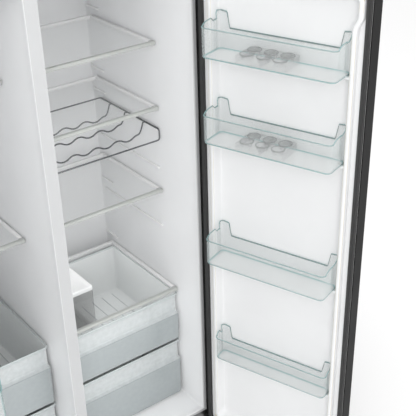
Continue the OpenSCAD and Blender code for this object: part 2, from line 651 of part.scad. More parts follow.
module door_gasket(w) difference() {
    z0 = door_z0 + 12;
    z1 = door_z1 - 16;
    box([seal_s, 0, z0], [w - seal_f, door_gap - 0.8, z1]);
    box([seal_s + seal_w, -1, z0 + seal_w], [w - seal_f - seal_w, door_gap, z1 - seal_w]);
    box([seal_s + 4, 2.5, z0 + 4], [w - seal_f - 4, 4.5, z1 - 4]);
}
module fridge_door_skin() color("#37393b") right_door() door_skin(fr_door_w);
module fridge_door_foam() color("#e8d9a0") right_door() door_foam(fr_door_w);
module fridge_door_liner() color("#f4f5f6") right_door()
    door_liner(fr_door_w, [bin1_z, bin2_z, bin3_z, bin4_z]);
module fridge_door_gasket() color("#44474a") right_door() door_gasket(fr_door_w);
module freezer_door_skin() color("#37393b") left_door() door_skin(fz_door_w);
module freezer_door_foam() color("#e8d9a0") left_door() door_foam(fz_door_w);
module freezer_door_liner() color("#f4f5f6") left_door()
    door_liner(fz_door_w, [bin2_z, bin3_z]);
module freezer_door_gasket() color("#44474a") left_door() door_gasket(fz_door_w);

// ---- door bins ----
module bin(w, reach, z) {
    s1 = w - rim_f - rim_w - 6;
    back = -pocket_d + 1.5;
    z0 = z - bin_h;
    difference() {
        round_box([bin_s0, back, z0], [s1, reach, z + wing_up], 12);
        round_box([bin_s0 + wall, back + wall, z0 + wall], [s1 - wall, reach - wall, z + wing_up + e], 10);
        box([bin_s0 - 1, back + 24, z], [s1 + 1, reach + 1, z + wing_up + 1]);
        box([bin_s0 + wing_w, back - 1, z - back_low], [s1 - wing_w, back + 14, z + wing_up + 1]);
        box([bin_s0 + wing_w, back + 13, z], [s1 - wing_w, back + 25, z + wing_up + 1]);
    }
}
module fridge_bin(reach, z) color("#dcebea", 0.6) right_door() bin(fr_door_w, reach, z);
module door_bin_top() fridge_bin(bin_reach, bin1_z);
module door_bin_second() fridge_bin(bin_reach, bin2_z);
module door_bin_third() fridge_bin(bin_reach, bin3_z);
module door_bin_low() fridge_bin(low_reach, bin4_z);
module freezer_bin(z) color("#dcebea", 0.6) left_door() bin(fz_door_w, bin_reach, z);
module freezer_bin_upper() freezer_bin(bin2_z);
module freezer_bin_lower() freezer_bin(bin3_z);
module egg_tray(z) color("#e2f0ee", 0.6) right_door() {
    z0 = z - bin_h + wall + 0.4;
    s0 = fr_door_w / 2 - 94;
    d0 = -pocket_d + 1.5 + wall + 2;
    d1 = bin_reach - wall - 2;
    d_pitch = (d1 - d0 - 6) / 2;
    cup_r = min(egg_pitch, d_pitch) / 2 - 2;
    difference() {
        round_box([s0, d0, z0], [s0 + egg_cols * egg_pitch + 8, d1, z0 + 26], 6);
        round_box([s0 + 2, d0 + 2, z0 - e], [s0 + egg_cols * egg_pitch + 6, d1 - 2, z0 + 24], 4);
        for (i = [0 : egg_cols - 1], j = [0, 1])
            upright(s0 + 4 + (i + 0.5) * egg_pitch, d0 + 3 + (j + 0.5) * d_pitch, z0, cup_r, 30);
    }
}
module egg_tray_top() egg_tray(bin1_z);
module egg_tray_second() egg_tray(bin2_z);

outer_casing();
rear_panel();
base_plate();
insulation_left();
insulation_mullion();
insulation_right();
insulation_shell();
fridge_liner();
freezer_liner();
mullion_cover();
kick_grille();
levelling_foot_left();
levelling_foot_right();
rear_rollers();
upper_hinge_left();
upper_hinge_right();
lower_hinge_left();
lower_hinge_right();
hinge_covers();
hinge_screws();
compressor();
evaporator_coil();
evaporator_cover();
evaporator_fan();
drain_pan();
machine_cover();
lamp_lens();
power_inlet();
shelf_frame_top();
shelf_glass_top();
shelf_frame_middle();
shelf_glass_middle();
shelf_frame_lower();
shelf_glass_lower();
wine_rack();
drawer_cover_frame();
drawer_cover_glass();
crisper_drawer_upper();
crisper_drawer_lower();
snack_box();
freezer_shelf_upper();
freezer_shelf_lower();
freezer_drawer_upper();
freezer_drawer_lower();
fridge_door_skin();
fridge_door_foam();
fridge_door_liner();
fridge_door_gasket();
freezer_door_skin();
freezer_door_foam();
freezer_door_liner();
freezer_door_gasket();
door_bin_top();
door_bin_second();
door_bin_third();
door_bin_low();
egg_tray_top();
egg_tray_second();
freezer_bin_upper();
freezer_bin_lower();
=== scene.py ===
# %% [markdown]
# # A side by side refrigerator, standing open
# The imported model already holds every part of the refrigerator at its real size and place, but its
# parts are plain. This lesson gives them what a moulding shop, a wire bender and a paint line give
# the real ones: fillets, ribs, rolled edges, and finishes. Lengths are in metres, +Z is up, and
# nothing that is already in the frame is moved.

# %% Loading the frame
import json
import math
import bpy
from mathutils import Matrix, Vector


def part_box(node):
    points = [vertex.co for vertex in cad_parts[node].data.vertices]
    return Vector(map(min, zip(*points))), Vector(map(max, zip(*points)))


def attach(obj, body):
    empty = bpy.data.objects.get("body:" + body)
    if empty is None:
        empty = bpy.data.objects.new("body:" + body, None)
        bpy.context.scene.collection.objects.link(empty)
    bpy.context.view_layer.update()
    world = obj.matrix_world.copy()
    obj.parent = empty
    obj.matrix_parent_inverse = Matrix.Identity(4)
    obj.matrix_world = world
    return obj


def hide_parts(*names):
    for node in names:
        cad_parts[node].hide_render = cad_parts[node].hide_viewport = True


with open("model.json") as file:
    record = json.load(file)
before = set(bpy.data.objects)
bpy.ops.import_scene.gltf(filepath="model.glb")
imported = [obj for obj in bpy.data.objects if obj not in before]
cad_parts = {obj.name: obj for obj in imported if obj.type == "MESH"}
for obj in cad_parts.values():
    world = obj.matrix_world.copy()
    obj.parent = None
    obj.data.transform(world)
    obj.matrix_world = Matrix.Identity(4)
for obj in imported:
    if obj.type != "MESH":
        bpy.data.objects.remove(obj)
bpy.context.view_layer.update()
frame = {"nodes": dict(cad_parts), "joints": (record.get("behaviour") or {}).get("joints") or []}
MM = 0.001
SKIN = 1.5 * MM      # plastic liner sheet
GAP = 0.3 * MM       # between pieces that move past each other

# %% [markdown]
# ## The camera
# The refrigerator is seen from above head height and from the left, so that the eye falls past the
# freezer into the fridge and onto the inside of its open door. A long lens keeps the uprights
# nearly parallel. Shifting the lens moves the view up without leaning the camera back.

# %% The camera
CAMERA_AT = (-1.0330, -1.9943, 2.2675)
CAMERA_YAW = 37.05        # from the back direction towards +X
CAMERA_PITCH = 30.99      # below the horizon
CAMERA_ROLL = -1.36
CAMERA_LENS = 76.1        # millimetres, for a sensor 36 millimetres wide
CAMERA_SHIFT = 0.077      # upwards, in widths of the view
turn = (Matrix.Rotation(math.radians(-CAMERA_YAW), 4, "Z")
        @ Matrix.Rotation(math.radians(90 - CAMERA_PITCH), 4, "X")
        @ Matrix.Rotation(math.radians(CAMERA_ROLL), 4, "Z"))
bpy.ops.object.camera_add()
camera = bpy.context.object
camera.matrix_world = Matrix.Translation(CAMERA_AT) @ turn
camera.data.lens = CAMERA_LENS
camera.data.sensor_width = 36
camera.data.shift_y = CAMERA_SHIFT
camera.data.clip_end = 60
bpy.context.scene.camera = camera
bpy.context.scene.view_settings.view_transform = "Standard"
print("camera stands", round(camera.location.z, 2), "m above the floor")

# %% [markdown]
# ## Light and floor
# A product studio is a white room with large soft lamps. The white world does most of the work and
# the area lamps only give the plastic its long soft highlights. The floor is a plain pale sheet.

# %% Light and floor
def lamp(name, at, aim, size, watts):
    """A square soft lamp that looks at a point."""
    bpy.ops.object.light_add(type="AREA", location=at)
    light = bpy.context.object
    light.name = name
    light.rotation_euler = (Vector(aim) - Vector(at)).to_track_quat("-Z", "Y").to_euler()
    light.data.shape = "SQUARE"
    light.data.size = size
    light.data.energy = watts
    return light


HEART = (0.15, 0.0, 0.95)
lamp("key_lamp", (-1.6, -2.9, 3.0), HEART, 1.8, 34)
lamp("fill_lamp", (1.9, -3.1, 2.1), HEART, 2.0, 12)
lamp("top_lamp", (-0.1, -0.9, 4.2), (0.1, 0.1, 0.8), 2.4, 16)
lamp("back_lamp", (0.6, 3.6, 2.6), HEART, 2.4, 16)
print("lamps:", len(bpy.data.lights))
world = bpy.data.worlds.new("studio")
bpy.context.scene.world = world
world.use_nodes = True
world.node_tree.nodes["Background"].inputs["Color"].default_value = (1.0, 1.0, 1.0, 1)
world.node_tree.nodes["Background"].inputs["Strength"].default_value = 1.0

# %% [markdown]
# ## Cards in the doorways
# The compartments are deep, and soft lamps outside leave their backs dim. So each doorway gets a
# weak card of light as large as itself, and the upper drawer gets one under its cover. The camera
# doesn't see the cards themselves, and neither do reflections.

# %% Cards in the doorways
def card(name, lo, hi, turn_to, watts):
    """A rectangle of light over the middle of a box, facing one way."""
    middle = (Vector(lo) + Vector(hi)) / 2
    bpy.ops.object.light_add(type="AREA", location=middle)
    light = bpy.context.object
    light.name = name
    light.rotation_euler = Vector(turn_to).to_track_quat("-Z", "Y").to_euler()
    light.data.shape = "RECTANGLE"
    light.data.size = hi[0] - lo[0]
    light.data.size_y = max(hi[1] - lo[1], hi[2] - lo[2])
    light.data.energy = watts
    light.visible_camera = False
    light.visible_glossy = False


CARD_MARGIN = 0.02        # from a doorway's card to the walls
CARD_DROP = 0.004         # from the drawers' cover down to its card
wall_lo, wall_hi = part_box("insulation_mullion")
shell_lo, shell_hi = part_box("insulation_shell")
card_y, card_low, card_high = wall_lo.y, wall_lo.z + CARD_MARGIN, wall_hi.z - CARD_MARGIN
card("fridge_card", (wall_hi.x + CARD_MARGIN, card_y, card_low),
     (shell_hi.x - CARD_MARGIN, card_y, card_high), (0, 1, 0), 0.6)
card("freezer_card", (shell_lo.x + CARD_MARGIN, card_y, card_low),
     (wall_lo.x - CARD_MARGIN, card_y, card_high), (0, 1, 0), 0.5)
cover_lo, cover_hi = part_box("drawer_cover_glass")
card_z = cover_lo.z - CARD_DROP
card("drawer_card", (cover_lo.x, cover_lo.y, card_z), (cover_hi.x, cover_hi.y, card_z),
     (0, 0, -1), 0.38)
print("lamps and cards:", len(bpy.data.lights))

# %% [markdown]
# ## Writing materials as sums
# A finish is mostly arithmetic on a few patterns: a bit of noise times a small number, added to a
# base roughness. The class Value lets a finish be written like that, and each of its operators adds
# a Math node. The class Finish holds the material, and its method node adds any other node.

# %% Writing materials as sums
class Value:
    """An output socket in a finish. + - * / and ** on it add Math nodes."""

    def __init__(self, finish, socket):
        self.finish = finish
        self.socket = socket

    def math(self, operation, first, second):
        return self.finish.node("Math", {"operation": operation}, {0: first, 1: second})

    def __add__(self, other):
        return self.math("ADD", self, other)

    def __radd__(self, other):
        return self.math("ADD", other, self)

    def __sub__(self, other):
        return self.math("SUBTRACT", self, other)

    def __rsub__(self, other):
        return self.math("SUBTRACT", other, self)

    def __mul__(self, other):
        return self.math("MULTIPLY", self, other)

    def __rmul__(self, other):
        return self.math("MULTIPLY", other, self)

    def __truediv__(self, other):
        return self.math("DIVIDE", self, other)

    def __rtruediv__(self, other):
        return self.math("DIVIDE", other, self)

    def __pow__(self, other):
        return self.math("POWER", self, other)


class Finish:
    """A material with one Principled shader, and a short way to add nodes to it."""

    def __init__(self, name, **sockets):
        self.material = bpy.data.materials.new(name)
        self.material.use_nodes = True
        self.tree = self.material.node_tree
        self.shader = self.tree.nodes["Principled BSDF"]
        self.place = self.node("TexCoord", {}, {}, "Object")
        self.set(**sockets)

    def feed(self, socket, value):
        if isinstance(value, Value):
            self.tree.links.new(value.socket, socket)
        else:
            socket.default_value = value

    def node(self, kind, settings, sockets, output=0):
        node = self.tree.nodes.new("ShaderNode" + kind)
        for key, value in settings.items():
            setattr(node, key, value)
        for key, value in sockets.items():
            self.feed(node.inputs[key], value)
        return Value(self, node.outputs[output])

    def noise(self, scale, detail=2.0):
        return self.node("TexNoise", {}, {"Vector": self.place, "Scale": scale, "Detail": detail})

    def blend(self, amount, first, second):
        """One colour going over to another."""
        return self.node("Mix", {"data_type": "RGBA"}, {0: amount, 6: first, 7: second}, 2)

    def relief(self, height, distance):
        """Fine surface texture through the Normal socket."""
        bump = self.node("Bump", {}, {"Height": height, "Strength": 0.5, "Distance": distance})
        self.feed(self.shader.inputs["Normal"], bump)

    def set(self, **sockets):
        for socket, value in sockets.items():
            self.feed(self.shader.inputs[socket.replace("_", " ")], value)


def grey(level, tint=(1, 1, 1)):
    """A linear colour from an sRGB level between 0 and 255."""
    return tuple(((level / 255 + 0.055) / 1.055) ** 2.4 * t for t in tint) + (1.0,)

# %% [markdown]
# ## The floor sheet
# The floor is a pale matt sheet, a little cloudy. It isn't part of the object.

# %% The floor sheet
bpy.ops.mesh.primitive_plane_add(size=40)
floor = bpy.context.object
floor.name = "studio_floor"
paper = Finish("studio_paper", Roughness=0.9)
paper.set(Base_Color=paper.blend(paper.noise(0.7), grey(250), grey(247)))
floor.data.materials.append(paper.material)
print(floor.name, "lies at", floor.location.z)

# %% [markdown]
# ## White moulded plastic
# The liners are vacuum formed sheet. It is almost white, with a satin gloss and the faint waviness
# that sheet keeps after forming. The waviness is in the relief, and the gloss varies a little.

# %% White moulded plastic
def moulded(name, level, rough, tint=(1, 1, 1), wave=0.12, coat=0.25):
    finish = Finish(name, Coat_Weight=coat, Coat_Roughness=0.12, IOR=1.49)
    broad = finish.noise(9)
    fine = finish.noise(420, 3)
    finish.set(Base_Color=finish.blend(broad, grey(level, tint), grey(level - 5, tint)),
               Roughness=rough + fine * 0.08 + broad * 0.05)
    finish.relief(broad * wave + fine * 0.05, 0.4 * MM)
    return finish.material


liner_white = moulded("liner_white", 238, 0.30, (0.985, 0.992, 1.0))
# The back walls are the same sheet as the sides, painted a little greyer: painted shade for the dim
# back of a deep compartment.
liner_back_shade = moulded("liner_back_shade", 226, 0.34, (0.985, 0.992, 1.0))
door_white = moulded("door_white", 242, 0.34, (0.99, 0.995, 1.0))
rail_white = moulded("rail_white", 240, 0.22)
trim_grey = moulded("trim_grey", 186, 0.25, (0.97, 1.0, 0.96))
front_grey = moulded("front_grey", 204, 0.3, (0.98, 0.99, 1.0))
lens_opal = moulded("lens_opal", 250, 0.4, (1.0, 0.99, 0.95))
black_moulding = moulded("black_moulding", 34, 0.5, wave=0.05, coat=0.0)
seal_dark = moulded("seal_dark", 52, 0.55, wave=0.08, coat=0.0)
print("opaque plastics mixed, from", liner_white.name, "to", seal_dark.name)

# %% [markdown]
# ## Dark enamel and the metals
# The outside is charcoal enamel baked on sheet steel: nearly black, with the small ripple that
# painters call orange peel. Plated brackets have a cloudy grey spangle. Foam is cream and porous.

# %% Dark enamel and the metals
def metal(name, level, rough, metallic, peel, cloud=10, tint=(1, 1, 1), shine=0.5):
    finish = Finish(name, Metallic=metallic, Specular_IOR_Level=shine)
    cells = finish.noise(260, 1)
    clouds = finish.noise(cloud, 3)
    finish.set(Base_Color=finish.blend(clouds, grey(level, tint), grey(level * 0.86, tint)),
               Roughness=rough + clouds * 0.1)
    finish.relief(cells * peel, 0.3 * MM)
    return finish.material


enamel = metal("charcoal_enamel", 22, 0.5, 0.0, 0.4, shine=0.12)
plated = metal("plated_steel", 150, 0.32, 1.0, 0.15, 60)
screw_steel = metal("screw_steel", 196, 0.22, 1.0, 0.1, 90)
wire_chrome = metal("wire_chrome", 134, 0.14, 1.0, 0.05, 40, (0.97, 1.0, 1.04))
black_enamel = metal("black_enamel", 26, 0.3, 0.0, 0.4)
coil_aluminium = metal("coil_aluminium", 214, 0.3, 1.0, 0.1, 30)
foam = Finish("cream_foam", Roughness=0.95)
pores = foam.noise(300, 4)
foam.set(Base_Color=foam.blend(pores, grey(232, (1, 0.9, 0.66)), grey(206, (1, 0.88, 0.6))))
foam.relief(pores, 1.2 * MM)
print("enamel, metals and foam mixed:", enamel.name, plated.name, foam.material.name)

# %% [markdown]
# ## Clear plastic and glass
# A clear bin has thin walls, and what shows it is its edges: light runs inside the wall and comes
# out green at every rim and fold. Tracing that light through thin walls is slow and noisy. Here the
# wall is mostly see-through instead, and grows more solid and more tinted as it turns away.

# %% Clear plastic and glass
def clear(name, face, edge, thin, solid, rough=0.06, grain=0.0):
    finish = Finish(name, Roughness=rough, IOR=1.5, Specular_IOR_Level=0.7)
    turned = finish.node("LayerWeight", {}, {"Blend": 0.35}, "Facing") ** 1.6
    haze = finish.noise(60, 2) * grain
    finish.set(Base_Color=finish.blend(turned, face, edge),
               Alpha=turned * (solid - thin) + haze + thin)
    finish.relief(finish.noise(30), 0.15 * MM)
    return finish.material


bin_clear = clear("bin_clear", grey(247, (0.95, 1.0, 1.0)), grey(214, (0.84, 1.0, 0.99)),
                  0.10, 0.5)
# The edge and foot finishes go on rims and feet: their teal tint and solidity are painted light and
# shade, the green glow and dark line a clear wall shows there.
bin_edge = clear("bin_edge", grey(178, (0.76, 1.0, 0.98)), grey(112, (0.66, 1.0, 0.97)),
                 0.6, 0.92)
bin_foot = clear("bin_foot", grey(190, (0.6, 1.0, 1.0)), grey(150, (0.5, 1.0, 1.0)), 0.7, 0.95)
bin_floor = clear("bin_floor", grey(236, (0.99, 1.0, 1.0)), grey(226), 0.4, 0.7)
egg_clear = clear("egg_clear", grey(250), grey(190), 0.06, 0.4)
# Dark grey for the egg cups' rolled lips: painted shade where the clear wall turns.
egg_lip_shade = clear("egg_lip_shade", grey(120), grey(70), 0.7, 0.98)
drawer_clear = clear("drawer_clear", grey(250, (0.98, 1.0, 1.0)), grey(244, (0.96, 1.0, 1.0)),
                     0.6, 0.85, 0.12, 0.06)
drawer_front = clear("drawer_front", grey(178, (0.92, 1.0, 1.02)), grey(172, (0.9, 1.0, 1.0)),
                     0.75, 0.9, 0.2, 0.1)
drawer_band = clear("drawer_band", grey(214, (0.95, 1.0, 1.01)), grey(196, (0.92, 1.0, 1.0)),
                    0.6, 0.85, 0.1, 0.25)
# The drawers' rim finish is painted light too: the green glow at the clear wall's edge.
drawer_edge = clear("drawer_edge", grey(236, (0.94, 1.0, 1.0)), grey(130, (0.78, 1.0, 1.0)),
                    0.5, 0.95)
shelf_clear = clear("shelf_clear", grey(250, (0.97, 1.0, 0.99)), grey(200, (0.9, 1.0, 0.96)),
                    0.03, 0.2, 0.01)
box_clear = clear("box_clear", grey(250), grey(232), 0.06, 0.3)
# The box's dark line finish is painted shade, for the turns where its clear walls bend the light.
box_shade_edge = clear("box_shade_edge", grey(70), grey(46), 0.7, 0.98)
print("clear finishes mixed, from", bin_clear.name, "to", box_shade_edge.name)

# %% [markdown]
# ## Tools of the bench
# Most of these parts are thin skins: a tub, a tray, a lining. A skin is easiest to draw as a stack
# of rings, like the hoops of a barrel: an edge loop is laid down, extruded once for each further
# hoop, and every hoop is then moved to its place. Wires are drawn in the same way. Straight edges
# and ribs are bars: a cube at its size and place, with its edges rounded.

# %% Tools of the bench
def begin():
    """Nothing is selected and no mesh is open."""
    if bpy.context.object and bpy.context.object.mode != "OBJECT":
        bpy.ops.object.mode_set(mode="OBJECT")
    bpy.ops.object.select_all(action="DESELECT")


def pick(piece, kind, test):
    """Opens the piece with only the faces or edges selected whose points pass the test."""
    begin()
    piece.select_set(True)
    bpy.context.view_layer.objects.active = piece
    bpy.ops.object.mode_set(mode="EDIT")
    bpy.ops.mesh.select_mode(type=kind)
    bpy.ops.mesh.select_all(action="DESELECT")
    bpy.ops.object.mode_set(mode="OBJECT")
    points = [v.co for v in piece.data.vertices]
    for part in piece.data.edges if kind == "EDGE" else piece.data.polygons:
        part.select = all(test(points[i]) for i in part.vertices)
    bpy.ops.object.mode_set(mode="EDIT")


def loft(name, rings, start=False, end=False, joined=False):
    """A skin through a stack of rings, all with the same number of points."""
    count = len(rings[0])
    begin()
    bpy.ops.mesh.primitive_circle_add(vertices=count, radius=1, fill_type="NOTHING")
    piece = bpy.context.object
    piece.name = name
    first = piece.data.vertices[0].co.copy()
    bpy.ops.object.mode_set(mode="EDIT")
    bpy.ops.mesh.select_mode(type="EDGE")
    bpy.ops.mesh.select_all(action="SELECT")
    for _ in rings[1:]:
        bpy.ops.mesh.extrude_region_move(TRANSFORM_OT_translate={"value": (0, 0, 1)})
    top = len(rings) - 1
    if end:
        bpy.ops.mesh.edge_face_add()
    if start:
        pick(piece, "EDGE", lambda p: p.z < 0.5)
        bpy.ops.mesh.edge_face_add()
    if joined:
        pick(piece, "EDGE", lambda p: p.z < 0.5 or p.z > top - 0.5)
        bpy.ops.mesh.bridge_edge_loops()
    bpy.ops.object.mode_set(mode="OBJECT")
    step = math.tau / count
    zero = math.atan2(first.y, first.x)
    for v in piece.data.vertices:
        turned = (math.atan2(v.co.y, v.co.x) - zero) % math.tau
        v.co = rings[round(v.co.z)][round(turned / step) % count]
    recalculate(piece)
    return piece


def recalculate(piece):
    """Makes all faces point outwards."""
    pick(piece, "FACE", lambda p: True)
    bpy.ops.mesh.normals_make_consistent(inside=False)
    bpy.ops.object.mode_set(mode="OBJECT")


def face_the(piece, point):
    """Turns an open skin so that most of it faces a point."""
    side = sum(f.area * f.normal.dot((Vector(point) - f.center).normalized())
               for f in piece.data.polygons)
    if side < 0:
        piece.data.flip_normals()


def modify(piece, kind, **settings):
    """Adds a modifier and applies it."""
    begin()
    piece.select_set(True)
    bpy.context.view_layer.objects.active = piece
    modifier = piece.modifiers.new(kind.lower(), kind)
    for key, value in settings.items():
        setattr(modifier, key, value)
    bpy.ops.object.modifier_apply(modifier=modifier.name)


def thicken(piece, wall, rim=0, even=True):
    """Gives a skin its wall, on the side away from its normals."""
    modify(piece, "SOLIDIFY", thickness=wall, offset=-1, use_even_offset=even,
           material_offset_rim=rim)


def soften(piece, width, angle=40, segments=2):
    """Rounds every edge sharper than the angle."""
    modify(piece, "BEVEL", width=width, segments=segments, limit_method="ANGLE",
           harden_normals=False, angle_limit=math.radians(angle), use_clamp_overlap=True)


def round_edges(piece, test, radius, segments=4):
    """Rounds the edges whose points pass the test."""
    pick(piece, "EDGE", test)
    bpy.ops.mesh.bevel(offset=radius, segments=segments, affect="EDGES", clamp_overlap=True)
    bpy.ops.object.mode_set(mode="OBJECT")


def smooth(piece, angle=38):
    """Shades smoothly across every edge flatter than the angle."""
    begin()
    piece.select_set(True)
    bpy.context.view_layer.objects.active = piece
    bpy.ops.object.shade_smooth_by_angle(angle=math.radians(angle))


def paint(piece, *materials):
    """Gives the piece these finishes, in this order."""
    piece.data.materials.clear()
    for material in materials:
        piece.data.materials.append(material)


def weld(pieces):
    """Joins several pieces into the first one."""
    begin()
    for piece in pieces:
        piece.select_set(True)
    bpy.context.view_layer.objects.active = pieces[0]
    bpy.ops.object.join()
    return pieces[0]


def hand_over(piece, body, slot, *nodes):
    """The finished piece rides on its body and stands for its CAD nodes."""
    smooth(piece)
    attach(piece, body)
    if nodes:
        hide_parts(*nodes)
    print(piece.name, len(piece.data.polygons), "faces on", body)


def bar(name, lo, hi, radius, segments=3):
    """A block with all its edges rounded."""
    begin()
    bpy.ops.mesh.primitive_cube_add(size=1, location=(Vector(lo) + Vector(hi)) / 2,
                                    scale=Vector(hi) - Vector(lo))
    piece = bpy.context.object
    piece.name = name
    bpy.ops.object.transform_apply(location=True, rotation=True, scale=True)
    if radius:
        soften(piece, radius, 30, segments)
    return piece


def rounded(x0, y0, x1, y1, r, steps=5):
    """A rectangle with round corners, counter-clockwise from the corner at x1, y0."""
    corners = ((x1 - r, y0 + r, -90), (x1 - r, y1 - r, 0),
               (x0 + r, y1 - r, 90), (x0 + r, y0 + r, 180))
    return [(cx + r * math.cos(math.radians(a + 90 * i / steps)),
             cy + r * math.sin(math.radians(a + 90 * i / steps)))
            for cx, cy, a in corners for i in range(steps + 1)]


print("finishes to choose from:", len(bpy.data.materials))

# %% [markdown]
# ## Where the compartments are
# The foam blocks say where the walls are: the one between the compartments gives their inner faces,
# and the shell round both gives their outer ones.

# %% Where the compartments are
FREEZER_X = (shell_lo.x + SKIN, wall_lo.x - SKIN)
FRIDGE_X = (wall_hi.x + SKIN, shell_hi.x - SKIN)
FRONT_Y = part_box("outer_casing")[0].y
BACK_Y = wall_hi.y - SKIN
FLOOR_Z = wall_lo.z + SKIN
CEILING_Z = wall_hi.z - SKIN
STEP_DEPTH = 160 * MM      # the step over the compressor, from the back wall
STEP_RISE = 208 * MM       # and from the floor
LIP = 15 * MM              # flange of the liners round the front
LIP_MIDDLE = 5 * MM        # and on the wall between them
LINER_FILLET = 9 * MM
print("fridge", [round(x, 3) for x in FRIDGE_X], "freezer", [round(x, 3) for x in FREEZER_X])

# %% [markdown]
# ## The liners
# Each compartment is one sheet, drawn into a mould while hot. The mould has round corners, because
# sheet tears in sharp ones, and the rails for the shelves are pressed out of the same sheet. The
# sheet is drawn here as a side outline extruded across, opened at the front, given its flange and
# fillets, and thickened outwards into the foam. The rails are bars that are welded on.

# %% The liners
def liner(name, x0, x1, lip0, lip1, ribs):
    """The sheet of one compartment, with ribs (height, front, back, reach, depth) on its sides."""
    side = [(FRONT_Y, FLOOR_Z), (BACK_Y - STEP_DEPTH, FLOOR_Z),
            (BACK_Y - STEP_DEPTH, FLOOR_Z + STEP_RISE), (BACK_Y, FLOOR_Z + STEP_RISE),
            (BACK_Y, CEILING_Z), (FRONT_Y, CEILING_Z)]
    piece = loft(name, [[(x, y, z) for y, z in side] for x in (x0, x1)], start=True, end=True)
    near = FRONT_Y + 1 * MM
    pick(piece, "FACE", lambda p: p.y < near)
    bpy.ops.mesh.delete(type="FACE")
    bpy.ops.object.mode_set(mode="OBJECT")
    before = len(piece.data.vertices)
    pick(piece, "EDGE", lambda p: p.y < near)
    bpy.ops.mesh.extrude_region_move(TRANSFORM_OT_translate={"value": (0, 0, 0)})
    bpy.ops.object.mode_set(mode="OBJECT")
    for v in list(piece.data.vertices)[before:]:
        v.co.x += lip1 if v.co.x > (x0 + x1) / 2 else -lip0
        v.co.z += LIP if v.co.z > CEILING_Z - LIP else -LIP
    round_edges(piece, lambda p: x0 - MM < p.x < x1 + MM and FLOOR_Z - MM < p.z < CEILING_Z + MM,
                LINER_FILLET)
    face_the(piece, ((x0 + x1) / 2, (FRONT_Y + BACK_Y) / 2, 1.0))
    # The back wall's faces get the greyer white, painted shade for the dim back of the compartment.
    for face in piece.data.polygons:
        at_back = face.center.y > BACK_Y - 2 * MM and abs(face.normal.y) > 0.99
        face.material_index = 1 if at_back else 0
    paint(piece, liner_white, liner_back_shade, front_grey)
    thicken(piece, SKIN)
    for face in piece.data.polygons:
        if face.center.y < near and abs(face.normal.y) > 0.99:
            face.material_index = 2
    bars = [piece]
    for x, out in ((x0, 1), (x1, -1)):
        for z, y0, y1, reach, height in ribs:
            a, b = sorted((x - out * MM, x + out * reach))
            rib = bar(name + "_rib", (a, y0, z - height), (b, y1, z), min(3 * MM, height * 0.4))
            paint(rib, rail_white)
            bars.append(rib)
    return weld(bars)


RIB_REACH = 7 * MM
RIB_HEIGHT = 8 * MM
SPARE_RAILS = (1.012, 0.797)
RAIL_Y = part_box("shelf_frame_top")[0].y + 14 * MM
COOLER_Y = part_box("evaporator_cover")[0].y
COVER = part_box("drawer_cover_frame")


def rail(z, back=BACK_Y - 8 * MM):
    """A long rib that carries a shelf."""
    return (z, RAIL_Y, back - 16 * MM, RIB_REACH, RIB_HEIGHT)


def stub(z, back=BACK_Y - 8 * MM):
    """A short rib at the back, over a shelf, that keeps it from tipping."""
    return (z, back - 74 * MM, back, RIB_REACH, RIB_HEIGHT)


def ledge(node):
    """A broad rib under a drawer."""
    return (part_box(node)[0].z - GAP, COVER[0].y + 20 * MM, BACK_Y - STEP_DEPTH - 12 * MM,
            14 * MM, 9 * MM)


STUB_UP = 29 * MM
fridge_rails = [rail(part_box(n)[0].z - GAP)
                for n in ("shelf_frame_top", "shelf_frame_middle", "shelf_frame_lower")]
fridge_rails += [rail(z) for z in SPARE_RAILS]
rack_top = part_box("wine_rack")[1].z
fridge_rails += [rail(rack_top - 5.3 * MM)]
fridge_rails += [(COVER[0].z - GAP, COVER[0].y + 14 * MM, BACK_Y - 44 * MM, RIB_REACH, 11 * MM)]
fridge_stubs = [stub(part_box(n)[1].z + STUB_UP) for n in ("shelf_frame_top", "shelf_frame_middle")]
fridge_stubs += [stub(COVER[1].z + STUB_UP), stub(rack_top + 25 * MM),
                 stub(SPARE_RAILS[1] + 38 * MM)]
fridge_ledges = [ledge("crisper_drawer_upper"), ledge("crisper_drawer_lower")]
fridge_liner = liner("fridge_lining", *FRIDGE_X, LIP_MIDDLE, LIP,
                     fridge_rails + fridge_stubs + fridge_ledges)
hand_over(fridge_liner, "cabinet", "white_plastic", "fridge_liner")
freezer_shelves = ("freezer_shelf_upper", "freezer_shelf_lower")
freezer_ribs = [rail(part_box(n)[0].z - GAP, COOLER_Y - 4 * MM) for n in freezer_shelves]
freezer_ribs += [stub(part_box(n)[1].z + STUB_UP, COOLER_Y - 4 * MM) for n in freezer_shelves]
freezer_ribs += [ledge("freezer_drawer_upper"), ledge("freezer_drawer_lower")]
freezer_liner = liner("freezer_lining", *FREEZER_X, LIP, LIP_MIDDLE, freezer_ribs)
hand_over(freezer_liner, "cabinet", "white_plastic", "freezer_liner")

# %% [markdown]
# ## Shelves
# A shelf is a sheet of toughened glass in a moulded edge. The front edge is a deeper grey moulding,
# and the sides and back are white. Each edge is a bar with round corners, and the bars meet at the
# corners as the moulding does.

# %% Shelves
EDGE_DEEP = 15 * MM       # the front edge, from front to back
CAP_WIDE, CAP_DEEP = 17 * MM, 18 * MM


def edged_shelf(name, lo, hi, side=12 * MM):
    """Four bars round a sheet of glass; the front one is deeper and has small end caps."""
    bars = [bar(name, (lo.x, lo.y, lo.z), (hi.x, lo.y + EDGE_DEEP, hi.z), 3.5 * MM, 4)]
    for x in (lo.x, hi.x - CAP_WIDE):
        bars.append(bar(name + "_cap", (x, lo.y - 1 * MM, lo.z - 1 * MM),
                        (x + CAP_WIDE, lo.y + CAP_DEEP, hi.z + 1.5 * MM), 4 * MM, 4))
    for piece in bars:
        paint(piece, trim_grey)
    sides = [bar(name + "_side", (x, lo.y + 6 * MM, lo.z + 2 * MM), (x + side, hi.y, hi.z),
                 2.5 * MM)
             for x in (lo.x, hi.x - side)]
    sides.append(bar(name + "_back", (lo.x, hi.y - side, lo.z), (hi.x, hi.y, hi.z + 1 * MM),
                     3 * MM))
    for piece in sides:
        paint(piece, rail_white)
    return weld(bars + sides)


